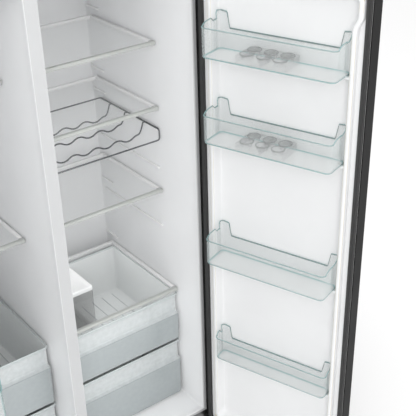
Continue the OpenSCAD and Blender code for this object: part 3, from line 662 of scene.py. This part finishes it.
for level in ("top", "middle", "lower"):
    shelf = edged_shelf(f"{level}_shelf_edge", *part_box(f"shelf_frame_{level}"))
    hand_over(shelf, f"{level}_shelf", "shelf_trim", f"shelf_frame_{level}")
    paint(frame["nodes"][f"shelf_glass_{level}"], shelf_clear)
cover_edge = edged_shelf("drawer_cover_edge", *COVER, 14 * MM)
hand_over(cover_edge, "drawer_cover", "white_plastic", "drawer_cover_frame")
paint(frame["nodes"]["drawer_cover_glass"], shelf_clear)

# %% [markdown]
# ## Freezer shelves
# The freezer's shelves have the same edges, and here the glass belongs to the same piece. So it is
# a thin bar between the edges, with its own finish.

# %% Freezer shelves
for node, body in (("freezer_shelf_upper", "freezer_top_shelf"),
                   ("freezer_shelf_lower", "freezer_low_shelf")):
    lo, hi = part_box(node)
    edge = edged_shelf(node + "_edge", lo, hi)
    glass = bar(node + "_glass", lo + Vector((8, 8, 5)) * MM, hi - Vector((8, 8, 3)) * MM, 0.8 * MM)
    paint(glass, shelf_clear)
    hand_over(weld([edge, glass]), body, "shelf_glass", node)

# %% [markdown]
# ## The bottle rack
# The rack is bent from plated wire 5 mm thick and welded. Three waved wires lie across it, so that
# a bottle rests in each hollow. A wave is a chain of equal arcs, and each bend of the frame is round
# too. Every wire is a ring of points carried along its line.

# %% The bottle rack
WIRE = 5 * MM


def wire(name, line, sides=10):
    """A round wire along a line of points."""
    line = [Vector(p) for p in line]
    rings = []
    along_y = abs((line[1] - line[0]).normalized().y) >= 0.7
    up = Vector((0, 0, 1)) if along_y else Vector((0, 1, 0))
    for i, point in enumerate(line):
        along = (line[min(i + 1, len(line) - 1)] - line[max(i - 1, 0)]).normalized()
        across = along.cross(up).normalized()
        other = across.cross(along)
        rings.append([point + (across * math.cos(math.tau * k / sides)
                               + other * math.sin(math.tau * k / sides)) * WIRE / 2
                      for k in range(sides)])
    piece = loft(name, rings, start=True, end=True)
    paint(piece, wire_chrome)
    return piece


def bend(corner, before, after, radius, steps=6):
    """Points of a round bend at a corner between two neighbours."""
    corner, before, after = Vector(corner), Vector(before), Vector(after)
    a = corner + (before - corner).normalized() * radius
    b = corner + (after - corner).normalized() * radius
    return [a.lerp(corner, t).lerp(corner.lerp(b, t), t)
            for t in (i / steps for i in range(steps + 1))]


rack_lo, rack_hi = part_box("wine_rack")
half_wire = WIRE / 2
rx0, rx1 = rack_lo.x + half_wire, rack_hi.x - half_wire
ry0, ry1 = rack_lo.y + half_wire, rack_hi.y - half_wire
rz = rack_hi.z - half_wire
DROP = 36 * MM            # the front of the hoop hangs this low
CREST = 37 * MM           # the waves' humps below the side wires
PITCH = 78 * MM           # from bottle to bottle
ARC = math.radians(34.2)  # half the angle of each arc of a wave
BEND = 9 * MM             # radius of the hoop's bends
END_ROOM = 40 * MM        # for both ends of a wave
WAVES_AT = (78, 183, 277)     # mm behind the front wire
radius = PITCH / 4 / math.sin(ARC)
cradles = int((rx1 - rx0 - END_ROOM) / PITCH)
corners = [(rx0, ry1, rz), (rx0, ry0, rz), (rx0, ry0, rz - DROP),
           (rx1, ry0, rz - DROP), (rx1, ry0, rz), (rx1, ry1, rz)]
hoop = [Vector(((rx0 + rx1) / 2, ry1, rz))]
for i, corner in enumerate(corners):
    hoop += bend(corner, hoop[-1] if i == 0 else corners[i - 1],
                 corners[i + 1] if i < 5 else ((rx0 + rx1) / 2, ry1, rz), BEND)
hoop.append(Vector(((rx0 + rx1) / 2 + 0.1 * MM, ry1, rz)))


def wave_line(y):
    """From the left side down to the first hump, along the wave, and up to the right side."""
    start = (rx0 + rx1 - cradles * PITCH) / 2
    top = rz - CREST
    line = []
    for n in range(2 * cradles + 1):
        middle = start + n * PITCH / 2
        sign = 1 if n % 2 == 0 else -1
        centre = top - radius if sign > 0 else top + 2 * radius * math.cos(ARC) - radius
        spread = [ARC * (k / 3 - 1) for k in range(6)]
        if n == 0:
            spread = [a for a in spread if a >= -0.01]
        line += [Vector((middle + radius * math.sin(a), y, centre + sign * radius * math.cos(a)))
                 for a in spread]
    line = [p for p in line if p.x <= start + cradles * PITCH + 0.1 * MM]
    level = rx0 + BEND
    rise = [Vector((rx0, y, rz))] + [Vector((start - t * (start - level), y, top + t * t * CREST))
                                     for t in (1, 0.8, 0.6, 0.4, 0.2)]
    far = [Vector((rx0 + rx1 - p.x, y, p.z)) for p in reversed(rise)]
    return rise + line + far


wires = [wire("bottle_rack", hoop)]
for back in WAVES_AT:
    wires.append(wire("wave_wire", wave_line(ry0 + back * MM)))
hand_over(weld(wires), "rack", "rack_wire", "wine_rack")

# %% [markdown]
# ## Drawers
# A drawer is moulded in tinted plastic. Its front leans in below the rim to make room for the
# fingers, has a few fine ribs there, and comes forward again in a ledge to pull on. Drawn as hoops,
# all of that is only a front edge that moves from hoop to hoop.

# %% Drawers
DRAWER_WALL = 2.4 * MM
FLOOR_RIBS = 9


def drawer(name, node, body):
    """A tub with a shaped front, and ribs on its floor."""
    lo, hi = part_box(node)
    x0, x1 = lo.x + 2.5 * MM, hi.x - 2.5 * MM
    front, back = lo.y, hi.y
    top, bottom = hi.z, lo.z
    # height, how far the sides are in, where the front is behind the ledge
    hoops = [(bottom, 6, 7), (bottom + 1.5 * MM, 3, 4), (bottom + 5 * MM, 1.5, 2),
             (bottom + 12 * MM, 1.2, 1.2), (top - 84 * MM, 0, 0), (top - 81 * MM, 0, 0.5),
             (top - 79.5 * MM, 0, 2.5), (top - 78 * MM, 0, 12), (top - 76 * MM, 0, 14)]
    hoops += [(top - (72 - 5 * k) * MM, 0, 14 if k % 2 else 15.6) for k in range(12)]
    hoops += [(top - 11 * MM, 0, 12), (top - 6.5 * MM, 0, 9.5), (top - 6 * MM, -2.2, 6.5),
              (top, -2.3, 6.3)]
    rings = []
    for z, inside, behind in hoops:
        outline = rounded(x0 + inside * MM, front + behind * MM,
                          x1 - inside * MM, back - max(inside, 0) * MM, 11 * MM)
        rings.append([(x, y, z) for x, y in outline])
    piece = loft(name, rings, start=True)
    paint(piece, drawer_clear, drawer_edge, drawer_front, drawer_band)
    thicken(piece, DRAWER_WALL, 1)
    # Rim and foot get the edge finish, painted light for the glow at the clear wall's edge.
    for face in piece.data.polygons:
        at_rim = face.center.z > top - 6.6 * MM
        at_foot = face.center.z < bottom + 3 * MM and abs(face.normal.z) < 0.8
        if at_rim or at_foot:
            face.material_index = 1
        elif face.center.y < front + 4 * MM:
            face.material_index = 2
        elif face.center.y < front + 16 * MM:
            face.material_index = 3
    ribs = []
    for k in range(FLOOR_RIBS):
        x = x0 + (x1 - x0) * (k + 1) / (FLOOR_RIBS + 1)
        rib = bar(name + "_rib", (x - 1.5 * MM, front + 45 * MM, bottom + 2 * MM),
                  (x + 1.5 * MM, back - 30 * MM, bottom + 4 * MM), 0.7 * MM, 2)
        paint(rib, drawer_edge)
        ribs.append(rib)
    hand_over(weld([piece] + ribs), body, "drawer_plastic", node)


drawer("upper_crisper_tub", "crisper_drawer_upper", "upper_crisper")
drawer("lower_crisper_tub", "crisper_drawer_lower", "lower_crisper")
drawer("freezer_upper_tub", "freezer_drawer_upper", "freezer_top_drawer")
drawer("freezer_lower_tub", "freezer_drawer_lower", "freezer_low_drawer")

# %% [markdown]
# ## The lidded box
# A clear box for small things slides sideways in the upper drawer. Its white lid has a rolled rim
# that hangs over the box, and the box shows mostly as dark lines where its walls turn. These lines
# are painted shade, where the clear walls bend the light away: a dark finish on the walls' cut top
# and on thin bars at the turns. Both box and lid are hoops again, and the lines are thin bars.

# %% The lidded box
lo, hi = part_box("snack_box")
LID = 9 * MM
BOX_WALL, LID_WALL = 2 * MM, 1.6 * MM
rings = []
for z, inside in ((lo.z, 5), (lo.z + 2 * MM, 1.5), (lo.z + 6 * MM, 0.5), (hi.z - LID, 0)):
    outline = rounded(lo.x + (2 + inside) * MM, lo.y + (3 + inside) * MM,
                      hi.x - (2 + inside) * MM, hi.y - (1 + inside) * MM, 8 * MM)
    rings.append([(x, y, z) for x, y in outline])
box_piece = loft("lidded_box_tub", rings, start=True)
paint(box_piece, box_clear, box_shade_edge)
# The cut top of the wall gets the dark finish, painted shade.
thicken(box_piece, BOX_WALL, 1)
# Thin dark bars at the front corners and along the front foot: painted shade where the clear walls
# turn.
shade_lines = [bar("box_shade_line", (x, lo.y + 3.2 * MM, lo.z + 3 * MM),
             (x + 1.2 * MM, lo.y + 4.6 * MM, hi.z - LID), 0.4 * MM, 2)
         for x in (lo.x + 3 * MM, hi.x - 4.2 * MM)]
shade_lines.append(bar("box_shade_line", (lo.x + 6 * MM, lo.y + 3.2 * MM, lo.z + 1.6 * MM),
                 (hi.x - 6 * MM, lo.y + 4.4 * MM, lo.z + 2.8 * MM), 0.4 * MM, 2))
for shade_line in shade_lines:
    paint(shade_line, box_shade_edge)
rings = []
for z, inside in ((hi.z - LID - 5 * MM, 0), (hi.z - 3 * MM, 0), (hi.z - 1 * MM, 1),
                  (hi.z, 3), (hi.z - 0.2 * MM, 9), (hi.z - 1.6 * MM, 11)):
    outline = rounded(lo.x + inside * MM, lo.y + inside * MM,
                      hi.x - inside * MM, hi.y - inside * MM, 10 * MM)
    rings.append([(x, y, z) for x, y in outline])
lid = loft("box_lid", rings, end=True)
face_the(lid, ((lo.x + hi.x) / 2, (lo.y + hi.y) / 2, hi.z + 1))
paint(lid, rail_white)
thicken(lid, LID_WALL)
hand_over(weld([box_piece, lid] + shade_lines), "lidded_box", "clear_plastic", "snack_box")

# %% [markdown]
# ## A door's own frame
# Everything on a door is square to the door, and the door stands open at an angle. So door pieces
# are drawn on a closed door that lies along one axis: s from the hinge side, d towards the cabinet
# and z up. One matrix, made from the hinge in the frame, then swings them into place.

# %% A door's own frame
PIN_S = 16.5 * MM     # hinge axis from the door's side
PIN_D = 23 * MM       # hinge axis in front of the door's back face


class Door:
    """The swing from a door's own frame to the room."""

    def __init__(self, joint_name, nodes):
        joint = next(j for j in frame["joints"] if j["name"] == joint_name)
        side = round(joint["axis"][2])
        pin = joint["pos_m"]
        self.body = joint["child"]
        self.swing = (Matrix.Translation((pin[0], pin[1], 0))
                      @ Matrix.Rotation(math.radians(-joint["range_deg"][0]) * side, 4, "Z")
                      @ Matrix.Translation((side * PIN_S, PIN_D, 0))
                      @ Matrix.Diagonal((-side, 1, 1, 1)))
        self.width = self.box(nodes + "_skin")[1].x

    def box(self, node):
        """A node's lowest and highest corners in the door's own frame."""
        back = self.swing.inverted()
        points = [back @ v.co for v in frame["nodes"][node].data.vertices]
        return tuple(Vector(end(p[i] for p in points) for i in range(3)) for end in (min, max))

    def hang(self, piece):
        """Swings a finished piece into place."""
        piece.data.transform(self.swing)
        if self.swing.determinant() < 0:
            piece.data.flip_normals()


fridge_door = Door("fridge_door_hinge", "fridge_door")
freezer_door = Door("freezer_door_hinge", "freezer_door")
print("doors are", round(fridge_door.width, 4), "and", round(freezer_door.width, 4), "m wide")

# %% [markdown]
# ## Door linings
# The inside of a door is one formed sheet: a flat border under the gasket, a rim that stands up all
# round, and a pocket for the bins. Above the bins the rim's free side steps outwards. The sheet is a
# stack of hoops that goes up the rim's outside, over its round top, and down into the pocket. Each
# hoop has extra points where the rim steps.

# %% Door linings
RIM_HINGE, RIM_FREE = 44.5 * MM, 34 * MM      # the rim's foot from the door's two sides
RIM_WIDE, RIM_HIGH = 14 * MM, 17 * MM
POCKET = 16 * MM                              # depth of the pocket below the border
RIM_Z0 = FLOOR_Z + 6 * MM
RIM_Z1 = CEILING_Z - 11 * MM
STEP_OUT = 14 * MM
STEP_FROM, STEP_TO = 1.589, 1.626


def step_out(z):
    """How far the free side's rim has moved out at a height: a smooth S."""
    t = min(max((z - STEP_FROM) / (STEP_TO - STEP_FROM), 0), 1)
    return STEP_OUT * t * t * (3 - 2 * t)


def stepped_outline(s0, z0, s1, z1, corner):
    """A round-cornered outline with nine more points on its free side, round the step."""
    points = rounded(s0, z0, s1, z1, corner, 6)
    free_side = [(s1, STEP_FROM + (STEP_TO - STEP_FROM) * k / 6) for k in range(-1, 8)]
    return points[:7] + free_side + points[7:]


def rim_ring(door, inside, d, corner, lean):
    """One hoop of the lining, a distance inside the rim's foot."""
    s0, s1 = RIM_HINGE + inside + lean * 0.4, door.width - RIM_FREE - inside - lean
    z0, z1 = RIM_Z0 + inside + lean * 0.8, RIM_Z1 - inside - lean * 0.5
    middle = (s0 + s1) / 2
    return [(s + (step_out(z) if s > middle else 0), d, z)
            for s, z in stepped_outline(s0, z0, s1, z1, corner)]


def door_lining(door, node, bins):
    """The sheet with its rim and pocket, and a lug under each end of each bin."""
    lo, hi = door.box(node)
    rings = [[(s, 0, z) for s, z in stepped_outline(lo.x, lo.z, hi.x, hi.z, 3 * MM)]]
    wide, high = RIM_WIDE / MM, RIM_HIGH / MM
    # how far inside the foot, how high, corner radius, and how far the pocket's wall leans
    for inside, d, corner, lean in ((-1, 0, 20, 0), (0, 1, 20, 0), (0.6, high - 5, 20, 0),
                                    (1.8, high - 1.6, 19, 0), (4, high, 17, 0),
                                    (wide - 4, high, 13, 0), (wide - 1.4, high - 1.8, 13, 0),
                                    (wide, high - 5, 14, 0.3), (wide, 0, 18, 5),
                                    (wide, -8, 20, 9), (wide, -12.5, 22, 13),
                                    (wide, -15, 24, 18), (wide, -16, 26, 25)):
        rings.append(rim_ring(door, inside * MM, d * MM, corner * MM, lean * MM))
    piece = loft(node + "_sheet", rings, end=True)
    face_the(piece, (door.width / 2, 1, 1))
    paint(piece, door_white)
    thicken(piece, SKIN)
    parts = [piece]
    for bin_node in bins:
        low = door.box(bin_node)[0].z
        for s in (RIM_HINGE + RIM_WIDE + 1 * MM, door.width - RIM_FREE - RIM_WIDE - 16 * MM):
            lug = bar(node + "_lug", (s, -POCKET, low - 9 * MM),
                      (s + 15 * MM, 10 * MM, low - 0.5 * MM), 3 * MM)
            paint(lug, door_white)
            parts.append(lug)
    piece = weld(parts)
    door.hang(piece)
    hand_over(piece, door.body, "white_plastic", node)


door_lining(fridge_door, "fridge_door_liner",
            ["door_bin_top", "door_bin_second", "door_bin_third", "door_bin_low"])
door_lining(freezer_door, "freezer_door_liner", ["freezer_bin_upper", "freezer_bin_lower"])

# %% [markdown]
# ## Gaskets
# The seal is a soft hollow strip with a magnet in its flat top and a bellows below it, welded at
# the corners into one ring. Its section is a closed line, and each point of the section is a hoop
# round the door.

# %% Gaskets
SECTION = ((0, 0), (0, 2.2), (1.6, 3.0), (1.6, 4.2), (0, 5.0), (0, 8.2), (0.8, 9.2), (6, 9.2),
           (7, 8.6), (8, 9.2), (12.6, 9.2), (13.4, 8.4), (13.4, 5.0), (11.8, 4.2), (11.8, 3.0),
           (13.4, 2.2), (13.4, 0))      # mm in from the outer edge, and up


def gasket(door, node):
    lo, hi = door.box(node)
    rings = []
    for i, d in SECTION:
        outline = rounded(lo.x + i * MM, lo.z + i * MM, hi.x - i * MM, hi.z - i * MM, (16 - i) * MM)
        rings.append([(s, d * MM, z) for s, z in outline])
    piece = loft(node + "_strip", rings, joined=True)
    paint(piece, seal_dark)
    door.hang(piece)
    hand_over(piece, door.body, "seal_rubber", node)


gasket(fridge_door, "fridge_door_gasket")
gasket(freezer_door, "freezer_door_gasket")

# %% [markdown]
# ## Door bins
# A bin is a clear tub with a low back, and its side walls rise to two wings at the back. Each side
# has a shallow upright channel near the door. The hoops are all the same outline, and only the last
# ones go up and down along the way.

# %% Door bins
CHANNEL = 4 * MM          # depth of the channel
WING_HIGH = 28 * MM       # the wings above the front rim
BIN_WALL = 2.3 * MM


def bin_outline(s0, s1, back, front, channel, grow=0.0):
    """Points (s, d, rise above the rim) round a bin, from the free side's front corner."""
    s0, s1, back, front = s0 - grow, s1 + grow, back - min(grow, 0), front + grow
    deep = front - back
    near, far = 15 * MM, 11 * MM      # corner radii in front and at the back

    def share(t):
        return front - near - (deep - near - far) * t

    def arc(centre_s, centre_d, r, angle, up):
        return [(centre_s + r * math.cos(math.radians(angle + 18 * i)),
                 centre_d + r * math.sin(math.radians(angle + 18 * i)), up) for i in range(6)]

    side = [(share(0.06), 4), (share(0.22), 8.5), (share(0.6), 10)]
    notch = [(share(0.66), 3, 1), (share(0.88), 4, 1)]
    wing = [(share(0.95), 16)]
    right = [(s1, d, up) for d, up in wing[::-1]]
    right += [(s1 - channel * k, d, up) for d, up, k in notch[::-1]]
    right += [(s1, d, up) for d, up in side[::-1]]
    points = arc(s1 - near, front - near, near, 0, 0) + arc(s0 + near, front - near, near, 90, 0)
    points += [(s0 + s1 - s, d, up) for s, d, up in right[::-1]]
    points += arc(s0 + far, back + far, far, 180, 24)
    points += [(s0 + 27 * MM, back, 22), (s0 + 36 * MM, back, -22),
               (s1 - 36 * MM, back, -22), (s1 - 27 * MM, back, 22)]
    points += arc(s1 - far, back + far, far, 270, 24)
    return points + right


def door_bin(door, node, body):
    """One clear bin, from its foot up to its wings."""
    lo, hi = door.box(node)
    rim = hi.z - WING_HIGH
    edges = (lo.x, hi.x, lo.y, hi.y)
    rings = []
    for z, grow, channel in ((lo.z, -5, 0), (lo.z + 1.2 * MM, -2, 0), (lo.z + 4.5 * MM, -0.3, 0),
                             (lo.z + 7 * MM, -0.2, 0), (lo.z + 8.5 * MM, 0, CHANNEL),
                             (rim - 30 * MM, 0, CHANNEL)):
        rings.append([(s, d, z) for s, d, up in bin_outline(*edges, channel, grow * MM)])
    for below, grow in ((3.4, 0.0), (2.8, 0.9), (0.0, 1.1)):
        rings.append([(s, d, rim + (up - below) * MM)
                      for s, d, up in bin_outline(*edges, CHANNEL, grow * MM)])
    piece = loft(node + "_tub", rings, start=True)
    paint(piece, bin_clear, bin_edge, bin_foot, bin_floor)
    band = (len(rings) - 3) * len(rings[0])
    # The rim band and the foot get teal finishes, painted light and shade for the glow and dark
    # lines at the clear wall's edges.
    for face in piece.data.polygons:
        if min(face.vertices) >= band:
            face.material_index = 1
        elif face.center.z < lo.z + 0.5 * MM:
            face.material_index = 3
        elif face.center.z < lo.z + 5 * MM:
            face.material_index = 2
    thicken(piece, BIN_WALL, 1, even=False)
    door.hang(piece)
    hand_over(piece, body, "clear_plastic", node)


for node, body in (("door_bin_top", "top_bin"), ("door_bin_second", "second_bin"),
                   ("door_bin_third", "third_bin"), ("door_bin_low", "low_bin")):
    door_bin(fridge_door, node, body)
door_bin(freezer_door, "freezer_bin_upper", "freezer_top_bin")
door_bin(freezer_door, "freezer_bin_lower", "freezer_low_bin")

# %% [markdown]
# ## Egg trays
# A tray is six rings, each with a short funnel that holds an egg by its waist, on a web between
# them. Each cup is a closed section that is carried round in hoops, and thin bars are the web.

# %% Egg trays
COLUMNS = 3
CUP_SECTION = ((1, 0), (1, 2.2), (-0.2, 3.2), (-1.6, 2.4), (-5, -13), (-3.6, -13.4), (-0.4, -0.6))
CUP_SIDES = 28


def egg_tray(door, node, body):
    """Two rows of cups on a web, with three feet."""
    lo, hi = door.box(node)
    pitch_s = (hi.x - lo.x - 8 * MM) / COLUMNS
    pitch_d = (hi.y - lo.y - 6 * MM) / 2
    cup = min(pitch_s, pitch_d) / 2 - 1.5 * MM
    top = hi.z - 3.2 * MM
    section = [(r * MM, up * MM) for r, up in CUP_SECTION]
    turns = [math.tau * k / CUP_SIDES for k in range(CUP_SIDES)]
    parts = []
    for i in range(COLUMNS):
        for j in range(2):
            s, d = lo.x + 4 * MM + (i + 0.5) * pitch_s, lo.y + 3 * MM + (j + 0.5) * pitch_d
            rings = [[(s + (cup + r) * math.cos(a), d + (cup + r) * math.sin(a), top + up)
                      for a in turns] for r, up in section]
            cup_piece = loft(node + "_cup", rings, joined=True)
            paint(cup_piece, egg_clear, egg_lip_shade)
            # The rolled lip, the first four points of the section, gets the dark finish: painted
            # shade.
            for face in cup_piece.data.polygons:
                face.material_index = 1 if max(face.vertices) < 4 * CUP_SIDES else 0
            parts.append(cup_piece)
    for d in (lo.y + 2 * MM, (lo.y + hi.y) / 2 - 2 * MM, hi.y - 6 * MM):
        parts.append(bar(node + "_web", (lo.x + 6 * MM, d, top - 1 * MM),
                         (hi.x - 6 * MM, d + 4 * MM, top + 1 * MM), 0.8 * MM, 2))
    for s in (lo.x + 4 * MM, (lo.x + hi.x) / 2 - 1 * MM, hi.x - 6 * MM):
        parts.append(bar(node + "_foot", (s, lo.y + 4 * MM, lo.z),
                         (s + 2 * MM, hi.y - 4 * MM, top), 0.8 * MM, 2))
    for piece in parts[COLUMNS * 2:]:
        paint(piece, egg_clear)
    piece = weld(parts)
    door.hang(piece)
    hand_over(piece, body, "clear_plastic", node)


egg_tray(fridge_door, "egg_tray_top", "top_eggs")
egg_tray(fridge_door, "egg_tray_second", "second_eggs")

# %% [markdown]
# ## Casing, back and machinery
# The rest keeps the shapes it was made with, and only needs its finishes: enamel on the casing and
# the doors' sheets, zinc on the back, base and hinges, black moulding on small parts, aluminium on
# the coil, and foam where a cut would show it.

# %% Casing, back and machinery
finishes = (
    (enamel, "outer_casing", "fridge_door_skin", "freezer_door_skin"),
    (plated, "rear_panel", "base_plate", "machine_cover", "upper_hinge_left", "upper_hinge_right",
     "lower_hinge_left", "lower_hinge_right"),
    (foam.material, "insulation_left", "insulation_mullion", "insulation_right", "insulation_shell",
     "fridge_door_foam", "freezer_door_foam"),
    (front_grey, "mullion_cover"),
    (liner_white, "evaporator_cover", "evaporator_fan"),
    (black_moulding, "kick_grille", "levelling_foot_left", "levelling_foot_right", "rear_rollers",
     "hinge_covers", "drain_pan", "power_inlet"),
    (screw_steel, "hinge_screws"),
    (black_enamel, "compressor"),
    (coil_aluminium, "evaporator_coil"),
    (lens_opal, "lamp_lens"),
)
for finish, *nodes in finishes:
    for node in nodes:
        paint(frame["nodes"][node], finish)
        print(node, "is", finish.name)
